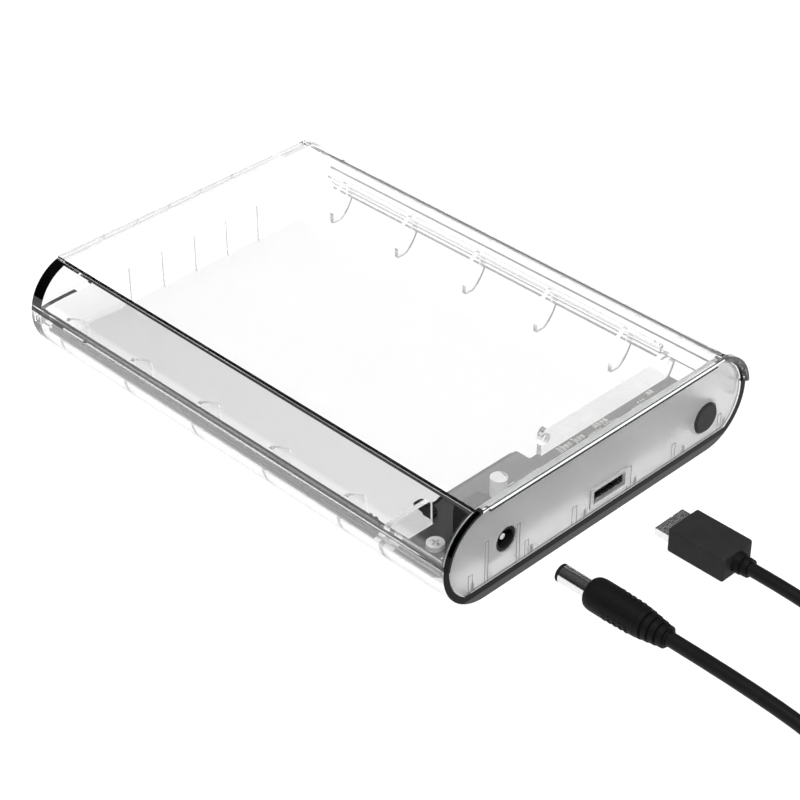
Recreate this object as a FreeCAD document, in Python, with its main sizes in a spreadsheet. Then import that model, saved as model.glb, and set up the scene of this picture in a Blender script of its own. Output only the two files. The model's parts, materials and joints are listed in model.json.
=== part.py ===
"""A clear 3.5 inch hard disk enclosure with its power lead and USB lead, in millimetres.

X runs across the enclosure, Y runs along it with the ports at the -Y end, and Z is up.
The origin is the middle of the enclosure's underside.
"""

import FreeCAD, Part

import math
import os

import Sketcher
from FreeCAD import Placement, Rotation, Vector

doc = FreeCAD.newDocument("DriveEnclosure")
sheet = doc.addObject("Spreadsheet::Sheet", "Sizes")
nodes = []


class Size:
    """A number that carries the spreadsheet expression it comes from."""

    def __init__(self, value, text=None):
        self.value = float(value)
        self.text = text or repr(float(value))

    def __add__(self, other):
        return combined(self, "+", other)

    def __radd__(self, other):
        return combined(other, "+", self)

    def __sub__(self, other):
        return combined(self, "-", other)

    def __rsub__(self, other):
        return combined(other, "-", self)

    def __mul__(self, other):
        return combined(self, "*", other)

    def __rmul__(self, other):
        return combined(other, "*", self)

    def __truediv__(self, other):
        return combined(self, "/", other)

    def __neg__(self):
        return combined(0, "-", self)


def as_size(number):
    return number if isinstance(number, Size) else Size(number)


def combined(left, sign, right):
    left = as_size(left)
    right = as_size(right)
    value = {
        "+": lambda: left.value + right.value,
        "-": lambda: left.value - right.value,
        "*": lambda: left.value * right.value,
        "/": lambda: left.value / right.value,
    }[sign]()
    return Size(value, f"({left.text} {sign} {right.text})")


def dimension(alias, value):
    """A driving dimension: a row of the sheet, with the alias that expressions use."""
    dimension.row += 1
    sheet.set(f"A{dimension.row}", alias)
    sheet.set(f"B{dimension.row}", str(value))
    sheet.setAlias(f"B{dimension.row}", alias)
    return Size(value, f"Sizes.{alias}")


dimension.row = 0

# ---------------------------------------------------------------- driving dimensions
# Casing
width = dimension("casing_width", 131.5)
length = dimension("casing_length", 186)
height = dimension("casing_height", 33.5)
wall = dimension("wall_thickness", 2.2)
side_wall = dimension("cover_side_thickness", 3)
end_wall = dimension("end_wall_thickness", 3.2)
crease = dimension("cover_crease_place", 53.4)
crease_depth = dimension("cover_crease_depth", 1.2)
seam = dimension("seam_level", 18.6)
seam_gap = dimension("seam_gap", 0.15)
floor_top = dimension("floor_level", 4.6)
gap = dimension("running_gap", 0.35)
rim_depth = dimension("rim_depth", 1.8)
tray_set_back = dimension("tray_set_back", 1.5)
rim_edge = dimension("rim_edge_thickness", 0.9)
flare_depth = dimension("rim_flare_depth", 1.7)
panel_thick = dimension("panel_thickness", 1.5)
# Ribs and the wall between the drive bay and the board
bay_half_width = dimension("bay_half_width", 53.2)
rib_thick = dimension("rib_thickness", 1.6)
rib_first = dimension("rib_first_place", 79.8)
rib_pitch = dimension("rib_pitch", 32)
rib_shoulder = dimension("rib_shoulder_level", 14.2)
rib_top = dimension("rib_top_level", 18.1)
end_rib_pitch = dimension("end_rib_pitch", 14)
end_rib_depth = dimension("end_rib_depth", 1.4)
divider_back = dimension("divider_place", -64.5)
divider_thick = dimension("divider_thickness", 1.8)
divider_top = dimension("divider_level", 17.3)
divider_gap_left = dimension("divider_gap_start", -43.7)
divider_gap_right = dimension("divider_gap_end", 1.3)
# Slide rails of the cover
rail_inner = dimension("rail_inner_place", 60.2)
rail_bottom = dimension("rail_bottom_level", 12.8)
rail_top = dimension("rail_top_level", 17.5)
rail_web = dimension("rail_web_thickness", 0.7)
rail_start = dimension("rail_start", -62.2)
rail_end = dimension("rail_end", 86.5)
skirt_outer = dimension("skirt_outer_place", 62.8)
skirt_thick = dimension("skirt_thickness", 0.6)
skirt_bottom = dimension("skirt_bottom_level", 14.3)
# Circuit board
board_bottom = dimension("board_bottom_level", 7)
board_thick = dimension("board_thickness", 1.6)
board_front = dimension("board_front", -84)
board_back = dimension("board_back", -66.6)
board_tab = dimension("board_tab_back", -60.2)
# Ports
jack_across = dimension("jack_across", -40.3)
jack_axis = dimension("jack_axis_level", 15.8)
usb_across = dimension("usb_across", 3.3)
usb_axis = dimension("usb_axis_level", 10.3)
button_across = dimension("button_across", 47.4)
button_axis = dimension("button_axis_level", 12.9)
button_travel = dimension("button_travel", 1)
sata_across = dimension("sata_across", -19.6)
# Leads, as they lie unplugged in front of their ports
barrel_tip = dimension("barrel_tip_place", -111.8)
barrel_long = dimension("barrel_length", 11)
usb_tip = dimension("usb_plug_tip_place", -113.9)
usb_nose = dimension("usb_plug_nose_length", 5)
power_cord = dimension("power_cord_diameter", 4.3)
usb_cord = dimension("usb_cord_diameter", 4.1)
power_coil_radius = dimension("power_coil_radius", 22.5)
usb_coil_radius = dimension("usb_coil_radius", 23.5)

half_width = width / 2
half_length = length / 2
front = -half_length
tray_front = front + tray_set_back
panel_front = front + rim_depth
panel_back = panel_front + panel_thick
board_top = board_bottom + board_thick
inner_end = half_length - end_wall


# ---------------------------------------------------------------- building blocks
def bind(thing, **sizes):
    """Binds properties to sizes; a double underscore stands for a dot."""
    for key, size in sizes.items():
        thing.setExpression(key.replace("__", "."), as_size(size).text)
    return thing


def node(thing, name):
    """Marks a finished sub-part: its label is the name of its file."""
    thing.Label = name
    nodes.append(thing)
    return thing


def box(name, x, y, z):
    """A block between (low, high) along each axis."""
    block = doc.addObject("Part::Box", name)
    bind(block, Length=x[1] - x[0], Width=y[1] - y[0], Height=z[1] - z[0])
    return bind(block, Placement__Base__x=x[0], Placement__Base__y=y[0], Placement__Base__z=z[0])


def slab(name, x, thick, y, z):
    """A block that is thick across its middle place x."""
    return box(name, (x - thick / 2, x + thick / 2), y, z)


TURNS = {
    "x": Rotation(Vector(0, 1, 0), 90),
    "y": Rotation(Vector(1, 0, 0), -90),
    "z": Rotation(),
}


def rod(name, axis, across, radius, span):
    """A round bar along x, y or z. across holds its place on the other two axes, in order."""
    bar_made = doc.addObject("Part::Cylinder", name)
    bar_made.Placement = Placement(Vector(), TURNS[axis])
    bind(bar_made, Radius=radius, Height=span[1] - span[0])
    places = dict(zip([letter for letter in "xyz" if letter != axis], across))
    places[axis] = span[0]
    for letter, place in places.items():
        bind(bar_made, **{f"Placement__Base__{letter}": place})
    return bar_made


def fuse(name, *parts):
    joined = doc.addObject("Part::MultiFuse", name)
    joined.Shapes = list(parts)
    joined.Refine = True
    return joined


def compound(name, *parts):
    """Separate solids of one kind kept together as one node."""
    kept = doc.addObject("Part::Compound", name)
    kept.Links = list(parts)
    return kept


def cut(name, base, *tools):
    taken = doc.addObject("Part::Cut", name)
    taken.Base = base
    taken.Tool = tools[0] if len(tools) == 1 else fuse(name + "_cutters", *tools)
    taken.Refine = True
    return taken


def common(name, first, second):
    shared = doc.addObject("Part::Common", name)
    shared.Base = first
    shared.Tool = second
    return shared


def mirrored(name, source):
    """The same piece on the other side of the middle plane."""
    other = doc.addObject("Part::Mirroring", name)
    other.Source = source
    other.Base = Vector(0, 0, 0)
    other.Normal = Vector(1, 0, 0)
    return other


def origin_feature(body, role):
    return next(f for f in body.Origin.OriginFeatures if f.Role == role)


def outline(body, plane, corners, offset):
    """A sketch of straight edges through corners, on an origin plane moved by offset."""
    sketch = body.newObject("Sketcher::SketchObject", body.Name + "_sketch")
    sketch.AttachmentSupport = [(origin_feature(body, plane), "")]
    sketch.MapMode = "FlatFace"
    bind(sketch, AttachmentOffset__Base__z=offset)
    corners = [(as_size(a), as_size(b)) for a, b in corners]
    points = [Vector(a.value, b.value, 0) for a, b in corners]
    count = len(points)
    for i in range(count):
        sketch.addGeometry(Part.LineSegment(points[i], points[(i + 1) % count]))
    for i in range(count):
        sketch.addConstraint(Sketcher.Constraint("Coincident", i, 2, (i + 1) % count, 1))
    for i, corner in enumerate(corners):
        for kind, size in zip(("DistanceX", "DistanceY"), corner):
            number = sketch.addConstraint(Sketcher.Constraint(kind, i, 1, size.value))
            sketch.setExpression(f"Constraints[{number}]", size.text)
    return sketch


def padded(name, plane, corners, span, rounding=None):
    """A body padded from an outline. plane is XY, XZ or YZ and span is (low, high) across it."""
    body = doc.addObject("PartDesign::Body", name)
    # The XZ plane faces -Y, so its sketch starts at the high end of the span.
    offset = -span[1] if plane == "XZ" else span[0]
    sketch = outline(body, plane + "_Plane", corners, offset)
    pad = body.newObject("PartDesign::Pad", name + "_pad")
    pad.Profile = sketch
    bind(pad, Length=span[1] - span[0])
    body.Tip = pad
    if rounding is not None:
        doc.recompute()
        fillet = body.newObject("PartDesign::Fillet", name + "_rounding")
        fillet.Base = (pad, [""])
        fillet.UseAllEdges = True
        bind(fillet, Radius=rounding)
        body.Tip = fillet
    return body


def turned(name, corners, x=0, y=0, z=0, about="Y_Axis", plane="XY_Plane"):
    """A body turned about an axis through x, y, z. corners are (radius, place along it)."""
    body = doc.addObject("PartDesign::Body", name)
    sketch = outline(body, plane, corners, Size(0))
    revolution = body.newObject("PartDesign::Revolution", name + "_turning")
    revolution.Profile = sketch
    revolution.ReferenceAxis = (origin_feature(body, about), [""])
    revolution.Angle = 360
    body.Tip = revolution
    return bind(body, Placement__Base__x=x, Placement__Base__y=y, Placement__Base__z=z)


def rectangle(x, y):
    return [(x[0], y[0]), (x[1], y[0]), (x[1], y[1]), (x[0], y[1])]


def around(middle, half):
    return (middle - half, middle + half)


def casing_bar(name, inset, y, side_inset=None, flat_half=None):
    """The casing's round-sided section along Y, made smaller by inset.

    The sides can be made smaller by side_inset, and the flat part made as wide as flat_half.
    """
    side_middle = half_width - height / 2
    flat = flat_half or side_middle
    middle = box(name + "_middle", (-flat, flat), y, (inset, height - inset))
    radius = height / 2 - (side_inset or inset)
    sides = [
        rod(f"{name}_{side}", "y", (sign * side_middle, height / 2), radius, y)
        for side, sign in (("left", -1), ("right", 1))
    ]
    return fuse(name, middle, *sides)


# ---------------------------------------------------------------- casing
def rim_flare(name, start):
    """Two cones that thin the cover's round sides towards the edge at the port end."""
    end = start + flare_depth
    side_middle = half_width - height / 2
    cones = []
    for side, sign in (("left", -1), ("right", 1)):
        cone = doc.addObject("Part::Cone", f"{name}_{side}")
        cone.Placement = Placement(Vector(), TURNS["y"])
        bind(
            cone,
            Radius1=height / 2 - rim_edge,
            Radius2=height / 2 - wall,
            Height=end - start,
            Placement__Base__x=sign * side_middle,
            Placement__Base__y=start,
            Placement__Base__z=height / 2,
        )
        cones.append(cone)
    middle = box(
        name + "_middle",
        (-side_middle, side_middle),
        (start - 1, end + 1),
        (Size(0), height),
    )
    return cut(name, fuse(name + "_pair", *cones), middle)


def side_rib(name, place):
    """A blade on the right-hand wall: upright inner edge, sloping top, notch under the rail."""
    corners = [
        (bay_half_width, floor_top - 1),
        (bay_half_width, rib_shoulder),
        (rail_inner - 1, rib_top),
        (rail_inner, rib_top),
        (rail_inner, rail_bottom),
        (half_width - 1, rail_bottom),
        (half_width - 1, floor_top - 1),
    ]
    return padded(name, "XZ", corners, around(place, rib_thick / 2))


def divider():
    """The upright wall between the bay and the board, with a gap for the drive's connector."""
    span = (divider_back - divider_thick, divider_back)
    end = rail_inner - 0.2
    left = padded(
        "divider_left",
        "XZ",
        [
            (-half_width + 1, floor_top - 1),
            (-half_width + 1, rail_bottom),
            (-end, rail_bottom),
            (-end, divider_top),
            (divider_gap_left - 1.2, divider_top),
            (divider_gap_left, divider_top - 1.2),
            (divider_gap_left, floor_top - 1),
        ],
        span,
    )
    right = padded(
        "divider_right",
        "XZ",
        [
            (divider_gap_right, floor_top - 1),
            (divider_gap_right, divider_top - 1.4),
            (divider_gap_right + 1.4, divider_top),
            (end, divider_top),
            (end, rail_bottom),
            (half_width - 1, rail_bottom),
            (half_width - 1, floor_top - 1),
        ],
        span,
    )
    # The hook at the inner end of the right-hand part
    notch_middle = divider_gap_right + 2
    notch_level = divider_top - 3.9
    notch = rod("divider_notch", "y", (notch_middle, notch_level), Size(1.9), span)
    mouth = box(
        "divider_mouth",
        (divider_gap_right - 1, notch_middle),
        span,
        (notch_level - 1.3, notch_level + 0.6),
    )
    return left, cut("divider_hooked", right, notch, mouth)


REST_PLACES = (-53.2, -29, -6.1, 16.1, 38.3, 57.5)


def lower_shell():
    outer = casing_bar("tray_outer", Size(0), (tray_front, half_length))
    lower_half = box(
        "tray_half", (-half_width - 1, half_width + 1), (tray_front, half_length), (Size(0), seam)
    )
    hollow = casing_bar("tray_hollow", wall, (front - 1, inner_end))
    # The hollow stops at the raised floor.
    bay = (tray_front, inner_end)
    raised_floor = common(
        "tray_floor",
        casing_bar("tray_floor_outline", wall, bay),
        box("tray_floor_depth", (-half_width, half_width), bay, (Size(0), floor_top)),
    )
    walls = cut("tray_walls", common("tray_solid", outer, lower_half), hollow)

    ribs = [side_rib(f"side_rib_{i + 1}", rib_first - i * rib_pitch) for i in range(5)]
    right_ribs = fuse("side_ribs_right", *ribs)
    left_ribs = mirrored("side_ribs_left", right_ribs)
    end_ribs = [
        slab(
            f"end_rib_{i + 1}",
            (i - 2) * end_rib_pitch,
            Size(1.2),
            (inner_end - end_rib_depth, inner_end + 0.5),
            (floor_top - 0.5, seam - 0.4),
        )
        for i in range(5)
    ]
    # Low ribs that carry the front edge of the board
    rests = [
        slab(
            f"board_rest_{i + 1}",
            place,
            Size(1.2),
            (panel_back, panel_back + 9),
            (floor_top - 0.5, board_bottom),
        )
        for i, place in enumerate(map(Size, REST_PLACES))
    ]
    posts = [
        rod(f"screw_post_{i + 1}", "z", place, Size(3.2), (floor_top - 0.5, board_bottom))
        for i, place in enumerate(SCREW_PLACES)
    ]
    inside = casing_bar("tray_trim", wall / 2, (panel_front, half_length - wall / 2))
    fittings = common(
        "tray_fittings",
        fuse("tray_fitting_set", right_ribs, left_ribs, *divider(), *end_ribs, *rests, *posts),
        inside,
    )
    pilots = [
        rod(f"screw_pilot_{i + 1}", "z", place, Size(1.25), (floor_top - 0.2, board_bottom + 1))
        for i, place in enumerate(SCREW_PLACES)
    ]
    # The cover's skirts leave through these slots in the far wall.
    slots = [
        box(
            f"skirt_slot_{side}",
            (low, high),
            (inner_end - 1, half_length + 1),
            (skirt_bottom - 0.4, seam + 1),
        )
        for side, low, high in (
            ("right", rail_inner + rail_web, skirt_outer + 0.4),
            ("left", -(skirt_outer + 0.4), -(rail_inner + rail_web)),
        )
    ]
    shell = fuse("tray_joined", walls, raised_floor, fittings)
    node(cut("lower_shell", shell, *pilots, *slots), "lower_shell")


def top_cover():
    outer = casing_bar("cover_outer", Size(0), (front, half_length))
    upper_half = box(
        "cover_half",
        (-half_width - 1, half_width + 1),
        (front, half_length),
        (seam + seam_gap, height + 1),
    )
    # The flat top stands a little proud of the round sides, with a groove along each edge.
    plate = box("cover_plate", (-crease, crease), (front, half_length), (height / 2, height))
    groove = padded(
        "cover_groove",
        "XZ",
        [
            (crease, height - crease_depth),
            (crease + 1.2 * crease_depth, height),
            (crease + 1.2 * crease_depth, height + 1),
            (crease, height + 1),
        ],
        (front - 1, inner_end),
    )
    solid = common("cover_solid", fuse("cover_whole", outer, plate), upper_half)
    # The sides are thicker than the top from the port panel on.
    mouth = casing_bar("cover_mouth", wall, (front - 1, panel_back + gap))
    flare = rim_flare("cover_flare", front)
    hollow = casing_bar(
        "cover_hollow", wall, (panel_back, inner_end), side_inset=side_wall, flat_half=crease - 0.2
    )
    left_groove = mirrored("cover_groove_left", groove)
    shell = cut("cover_walls", solid, mouth, hollow, groove, left_groove, flare)
    skirt_inner = skirt_outer - skirt_thick
    foot = skirt_inner - 1
    # A skirt inside the tray's wall, with a foot that runs under the rail's lip
    corners = [
        (foot, skirt_bottom),
        (skirt_outer, skirt_bottom),
        (skirt_outer, seam + seam_gap),
        (half_width - 1, seam + seam_gap),
        (half_width - 1, seam + 1.2),
        (skirt_inner, seam + 1.2),
        (skirt_inner, skirt_bottom + 1.1),
        (foot, skirt_bottom + 1.1),
    ]
    right = padded("cover_skirt_right", "XZ", corners, (panel_back + 0.6, half_length))
    left = mirrored("cover_skirt_left", right)
    node(fuse("top_cover", shell, right, left), "top_cover")


def slide_rails():
    """A channel on each side that holds the cover down and guides it."""
    lip = skirt_outer - skirt_thick - 0.4
    web = rail_inner + rail_web
    inner = rail_inner + 0.05
    low = rail_bottom + 0.05
    corners = [
        (inner, low),
        (lip + 1, low),
        (lip + 1, rail_bottom + 1.2),
        (web, rail_bottom + 1.2),
        (web, rail_top - 1.2),
        (lip, rail_top - 1.2),
        (lip, rail_top),
        (inner, rail_top),
    ]
    channel = padded("rail_channel", "XZ", corners, (rail_start, rail_end))
    # The catch at the port end: two small teeth on the lip
    teeth = [
        box(
            f"rail_tooth_{i + 1}",
            (inner, lip - 0.3),
            (rail_start + place, rail_start + place + 1),
            (rail_top - 0.2, rail_top + 0.5),
        )
        for i, place in enumerate((0.6, 2.8))
    ]
    right = fuse("slide_rail_right", channel, *teeth)
    node(right, "slide_rail_right")
    node(mirrored("slide_rail_left", right), "slide_rail_left")


def port_panel():
    """The panel inside the rim, with a hole for each port and for the button."""
    span = (panel_front, panel_back)
    plate = common(
        "panel_plate",
        casing_bar("panel_outline", wall + gap, span),
        box("panel_height", (-half_width, half_width), span, (floor_top, height)),
    )
    frame = box(
        "panel_usb_frame",
        around(usb_across, Size(8.3)),
        (panel_front - 0.5, panel_front + 0.5),
        around(usb_axis, Size(3.5)),
    )
    guides = [
        slab(
            f"panel_guide_{i + 1}",
            jack_across + offset,
            Size(1.2),
            (panel_back - 0.3, panel_back + 1.2),
            (floor_top + 0.3, Size(18)),
        )
        for i, offset in enumerate((-6, 6))
    ]
    jack_hole = rod("panel_jack_hole", "y", (jack_across, jack_axis), Size(4.2), (front, front + 9))
    usb_hole = box(
        "panel_usb_hole", around(usb_across, Size(7)), (front, front + 9), around(usb_axis, Size(2.3))
    )
    button_hole = rod(
        "panel_button_hole", "y", (button_across, button_axis), Size(5.3), (front, front + 9)
    )
    solid = fuse("panel_solid", plate, frame, *guides)
    node(cut("port_panel", solid, jack_hole, usb_hole, button_hole), "port_panel")


# ---------------------------------------------------------------- circuit board
SCREW_PLACES = ((Size(-50.7), Size(-74.3)), (Size(34.3), Size(-79)))
TAB_LEFT = Size(-43.3)
TAB_RIGHT = Size(-2.2)
SATA_HALF = Size(17.2)


def main_board():
    """The board fills the casing's width, and its tab reaches through the divider's gap."""
    edge = half_width - wall - 3.4
    corners = [
        (-edge + 2.5, board_front),
        (edge - 2.5, board_front),
        (edge, board_front + 2.5),
        (edge, board_back),
        (TAB_RIGHT + 3.2, board_back),
        (TAB_RIGHT + 3.2, board_back + 1.6),
        (TAB_RIGHT, board_back + 1.6),
        (TAB_RIGHT, board_tab),
        (TAB_LEFT + 3, board_tab),
        (TAB_LEFT, board_back),
        (-edge, board_back),
        (-edge, board_front + 2.5),
    ]
    board = padded("board_plate", "XY", corners, (board_bottom, board_top))
    holes = [
        rod(f"board_hole_{i + 1}", "z", place, Size(1.6), (board_bottom - 1, board_top + 1))
        for i, place in enumerate(SCREW_PLACES)
    ]
    node(cut("main_board", board, *holes), "main_board")


def board_screws():
    screws = []
    for i, place in enumerate(SCREW_PLACES):
        head_top = board_top + 1.7
        head = rod(f"screw_head_{i + 1}", "z", place, Size(2.7), (board_top, head_top))
        shank = rod(f"screw_shank_{i + 1}", "z", place, Size(1.2), (floor_top + 0.4, board_top + 0.2))
        across, along = place
        slots = [
            box(
                f"screw_recess_{i + 1}_{letter}",
                around(across, Size(reach_x)),
                around(along, Size(reach_y)),
                (head_top - 0.9, head_top + 1),
            )
            for letter, reach_x, reach_y in (("a", 1.5, 0.3), ("b", 0.3, 1.5))
        ]
        screws.append(cut(f"screw_{i + 1}", fuse(f"screw_blank_{i + 1}", head, shank), *slots))
    node(compound("board_screws", *screws), "board_screws")


def drive_connector():
    """The combined data and power socket that the disk pushes onto, under the board's tab."""
    body = box(
        "sata_body",
        around(sata_across, SATA_HALF),
        (board_tab - 4.6, board_tab + 2.6),
        (floor_top + 0.3, board_bottom),
    )
    lip = box(
        "sata_lip",
        around(sata_across, SATA_HALF),
        (board_tab, board_tab + 0.7),
        (board_bottom - 0.5, board_top),
    )
    # Two slots side by side, open towards the bay: power on the left, data on the right
    slots = [
        box(
            f"sata_slot_{i + 1}",
            (sata_across + low, sata_across + high),
            (board_tab + 0.2, board_tab + 5),
            (Size(5.4), Size(6.6)),
        )
        for i, (low, high) in enumerate(((-15.6, 4.4), (6, 15.6)))
    ]
    solid = fuse("sata_solid", body, lip)
    node(cut("drive_connector_housing", solid, *slots), "drive_connector_housing")

    pitch = 1.27
    contacts = []
    for first, count in ((-15, 15), (6.9, 7)):
        for i in range(count):
            across = sata_across + (first + i * pitch)
            contacts.append(
                slab(
                    f"sata_contact_{len(contacts) + 1}",
                    across,
                    Size(0.7),
                    (board_tab + 0.2, board_tab + 2.4),
                    (Size(6.3), Size(6.6)),
                )
            )
    node(compound("drive_connector_contacts", *contacts), "drive_connector_contacts")

    # Upright hooks at the ends steer the disk onto the socket.
    def guide(name, sign):
        inner = sata_across + sign * Size(20.6)
        outer = inner + sign * 2.6
        corners = [
            (board_tab - 4.6, board_top),
            (board_tab - 0.2, board_top),
            (board_tab - 0.2, Size(9.2)),
            (board_tab + 2.4, Size(9.8)),
            (board_tab + 2.4, Size(11.2)),
            (board_tab + 1, Size(12)),
            (board_tab - 3.2, Size(12)),
            (board_tab - 4.6, Size(11)),
        ]
        span = (outer, inner) if sign < 0 else (inner, outer)
        return padded(name, "YZ", corners, span)

    node(guide("drive_guide_left", -1), "drive_guide_left")


def power_jack():
    axis = (jack_across, jack_axis)
    block = box(
        "jack_block",
        around(jack_across, Size(4.7)),
        (panel_back + 1.4, panel_back + 14),
        (board_top, jack_axis + 4.9),
    )
    collar = rod("jack_collar", "y", axis, Size(3.95), (panel_front + 0.4, panel_back + 2))
    bore = rod("jack_bore", "y", axis, Size(3.05), (front, panel_back + 11))
    pin_seat = rod("jack_pin_seat", "y", axis, Size(1), (panel_back + 10, panel_back + 13))
    slot = box(
        "jack_spring_slot",
        around(jack_across, Size(1)),
        (panel_back + 3, panel_back + 11),
        (jack_axis - 4.2, jack_axis),
    )
    solid = fuse("jack_solid", block, collar)
    node(cut("power_jack_housing", solid, bore, pin_seat, slot), "power_jack_housing")
    tip = panel_front + 1.6
    pin = rod("power_jack_pin", "y", axis, Size(1), (tip, panel_back + 13))
    node(pin, "power_jack_pin")
    spring = box(
        "power_jack_spring",
        around(jack_across, Size(0.8)),
        (panel_back + 3.3, panel_back + 11),
        (jack_axis - 4.2, jack_axis - 3.5),
    )
    node(spring, "power_jack_spring")


def usb_socket():
    y = (panel_front + 0.2, panel_front + 7.2)
    shell = box("usb_socket_outer", around(usb_across, Size(6.6)), y, around(usb_axis, Size(1.7)))
    hollow = box(
        "usb_socket_hollow",
        around(usb_across, Size(6.35)),
        (y[0] - 1, y[1] - 0.3),
        around(usb_axis, Size(1.45)),
    )
    node(cut("usb_socket_shell", shell, hollow), "usb_socket_shell")
    back = y[1] - 0.3
    base = box(
        "usb_tongue_base",
        around(usb_across, Size(6.3)),
        (back - 1, back),
        around(usb_axis, Size(1.4)),
    )
    blades = [
        box(
            f"usb_tongue_{i + 1}",
            (usb_across + low, usb_across + high),
            (y[0] + 1, back - 0.5),
            around(usb_axis, Size(0.35)),
        )
        for i, (low, high) in enumerate(((-5.3, 0.7), (2.1, 5.3)))
    ]
    node(fuse("usb_socket_tongue", base, *blades), "usb_socket_tongue")
    contacts = [
        slab(
            f"usb_socket_contact_{i + 1}",
            usb_across + place,
            Size(0.34),
            (y[0] + 1.3, back - 1),
            (usb_axis + 0.35, usb_axis + 0.45),
        )
        for i, place in enumerate((-4.6, -3.45, -2.3, -1.15, 0, 2.5, 3.1, 3.7, 4.3, 4.9))
    ]
    node(compound("usb_socket_contacts", *contacts), "usb_socket_contacts")


def power_switch():
    axis = (button_across, button_axis)
    cap_front = panel_front - 0.7
    flange = panel_back + 0.3
    corners = [
        (Size(0), cap_front),
        (Size(4.5), cap_front),
        (Size(4.95), cap_front + 0.45),
        (Size(4.95), flange),
        (Size(6), flange),
        (Size(6), flange + 0.9),
        (Size(1.8), flange + 0.9),
        (Size(1.8), flange + 2),
        (Size(0), flange + 2),
    ]
    node(turned("power_button", corners, x=button_across, z=button_axis), "power_button")
    plunger_front = flange + 2
    body_front = plunger_front + button_travel + 1
    plunger = box(
        "switch_plunger",
        around(button_across, Size(1.4)),
        (plunger_front, body_front + 1),
        around(button_axis, Size(1.1)),
    )
    node(plunger, "switch_plunger")
    body = box(
        "switch_body_block",
        around(button_across, Size(4)),
        (body_front, body_front + 7.5),
        (board_top, button_axis + 3.4),
    )
    hole = box(
        "switch_hole",
        around(button_across, Size(1.4) + gap),
        (body_front - 1, body_front + button_travel + 1.5),
        around(button_axis, Size(1.1) + gap),
    )
    node(cut("switch_body", body, hole), "switch_body")
    solder_legs = [
        slab(
            f"switch_leg_{i + 1}",
            button_across + place,
            Size(0.6),
            (body_front + 7.5, body_front + 9),
            (board_top, board_top + 0.25),
        )
        for i, place in enumerate((-2.5, 0, 2.5))
    ]
    node(compound("switch_legs", *solder_legs), "switch_legs")


def chip(name, x, y, size, tall):
    """A flat black package standing on the board by its middle place."""
    return node(
        box(
            name,
            around(Size(x), Size(size[0] / 2)),
            around(Size(y), Size(size[1] / 2)),
            (board_top + 0.1, board_top + 0.1 + tall),
        ),
        name,
    )


def chip_legs(name, x, y, size, pitch, count):
    """Rows of legs along the two long sides of a package."""
    legs = []
    for side in (-1, 1):
        for i in range(count):
            across = x + (i - (count - 1) / 2) * pitch
            edge = y + side * size[1] / 2
            span = (Size(min(edge, edge + side)), Size(max(edge, edge + side)))
            legs.append(
                slab(
                    f"{name}_{len(legs) + 1}",
                    Size(across),
                    Size(pitch * 0.45),
                    span,
                    (board_top, board_top + 0.25),
                )
            )
    node(compound(name, *legs), name)


def small_parts():
    """What else is soldered to the board."""
    chip("bridge_chip", 18.3, -76.1, (9, 7), 1.1)
    chip_legs("bridge_chip_legs", 18.3, -76.1, (9, 7), 0.8, 11)
    chip("regulator_chip", -14.2, -77.6, (5, 4), 1.4)
    chip_legs("regulator_chip_legs", -14.2, -77.6, (5, 4), 1.27, 4)

    # Round storage capacitor on its square foot
    place = (Size(-22.2), Size(-71.1))
    can = rod("capacitor_can", "z", place, Size(2.65), (board_top + 0.9, Size(15.8)))
    node(can, "capacitor_can")
    foot = box(
        "capacitor_base",
        around(place[0], Size(2.8)),
        around(place[1], Size(2.8)),
        (board_top, board_top + 0.9),
    )
    node(foot, "capacitor_base")
    coil_body = padded(
        "power_inductor",
        "XY",
        rectangle(around(Size(-26.2), Size(2.6)), around(Size(-78.8), Size(2.6))),
        (board_top, board_top + 3),
        rounding=Size(0.5),
    )
    node(coil_body, "power_inductor")
    crystal = padded(
        "crystal_can",
        "XY",
        rectangle(around(Size(28.5), Size(2.5)), around(Size(-72), Size(1.6))),
        (board_top, board_top + 1.2),
        rounding=Size(0.35),
    )
    node(crystal, "crystal_can")

    # Small ceramic capacitors and resistors in short rows
    chips = []
    rows = ((6.8, -68.8, 4), (13.8, -69, 3), (23.3, -68.2, 4), (38.3, -71.1, 3), (47.8, -68.4, 2))
    rows += ((-30.7, -74.6, 2), (-9.7, -71.1, 4), (1.3, -76.9, 3))
    for x, y, count in rows:
        for i in range(count):
            chips.append(
                box(
                    f"ceramic_{len(chips) + 1}",
                    around(Size(x + 1.5 * i), Size(0.4)),
                    around(Size(y), Size(0.8)),
                    (board_top, board_top + 0.6),
                )
            )
    node(compound("ceramic_capacitors", *chips), "ceramic_capacitors")
    led = box(
        "status_led",
        around(Size(28.8), Size(0.8)),
        around(Size(-82.6), Size(1.2)),
        (board_top, board_top + 0.9),
    )
    node(led, "status_led")


# ---------------------------------------------------------------- leads
def smooth_path(route):
    """Straight runs joined by arcs, each as large as its two runs allow. Prints the radii."""
    edges = []
    radii = []
    start = route[0]
    for before, corner, after in zip(route, route[1:], route[2:]):
        into = corner - before
        out = after - corner
        turn = into.getAngle(out)
        reach = 0.45 * min(into.Length, out.Length)
        radius = reach / math.tan(turn / 2)
        into.normalize()
        out.normalize()
        inward = out - into
        inward.normalize()
        first = corner - into * reach
        last = corner + out * reach
        middle = corner + inward * (radius / math.cos(turn / 2) - radius)
        edges.append(Part.LineSegment(start, first).toShape())
        edges.append(Part.Arc(first, middle, last).toShape())
        radii.append(round(radius, 1))
        start = last
    edges.append(Part.LineSegment(start, route[-1]).toShape())
    return Part.Wire(edges), radii


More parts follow.
